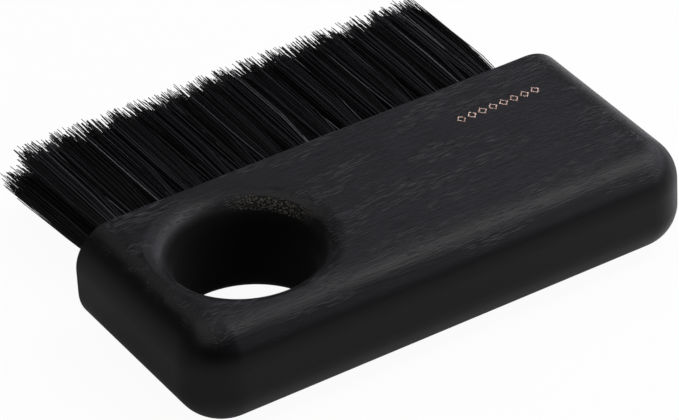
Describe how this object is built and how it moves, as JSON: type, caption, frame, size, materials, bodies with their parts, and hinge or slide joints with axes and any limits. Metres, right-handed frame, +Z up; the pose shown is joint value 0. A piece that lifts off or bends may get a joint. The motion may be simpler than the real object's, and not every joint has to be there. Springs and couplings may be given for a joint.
{
  "type": "bench brush",
  "caption": "Rounded wooden hand block with a finger hole and a flat fringe of stiff bristles, for sweeping a coffee bench.",
  "frame": {"origin": "middle of the block's underside, on the plane that the brush rests on", "axes": "+X along the block, away from the finger hole; +Y from the block to the bristle tips; +Z up, through the finger hole"},
  "size_m": [0.125, 0.099, 0.025],
  "materials": {
    "block": "black-stained open-pored hardwood under a thin satin oil",
    "bristles": "black nylon filaments",
    "anchors": "bright flat wire"
  },
  "bodies": {
    "root": {"block": "block", "tuft_upper_01": "bristles", "tuft_upper_02": "bristles", "tuft_upper_03": "bristles", "tuft_upper_04": "bristles", "tuft_upper_05": "bristles", "tuft_upper_06": "bristles", "tuft_upper_07": "bristles", "tuft_upper_08": "bristles", "tuft_upper_09": "bristles", "tuft_upper_10": "bristles", "tuft_upper_11": "bristles", "tuft_upper_12": "bristles", "tuft_upper_13": "bristles", "tuft_upper_14": "bristles", "tuft_upper_15": "bristles", "tuft_lower_01": "bristles", "tuft_lower_02": "bristles", "tuft_lower_03": "bristles", "tuft_lower_04": "bristles", "tuft_lower_05": "bristles", "tuft_lower_06": "bristles", "tuft_lower_07": "bristles", "tuft_lower_08": "bristles", "tuft_lower_09": "bristles", "tuft_lower_10": "bristles", "tuft_lower_11": "bristles", "tuft_lower_12": "bristles", "tuft_lower_13": "bristles", "tuft_lower_14": "bristles", "tuft_lower_15": "bristles", "tuft_lower_16": "bristles", "anchors": "anchors"}
  },
  "joints": []
}
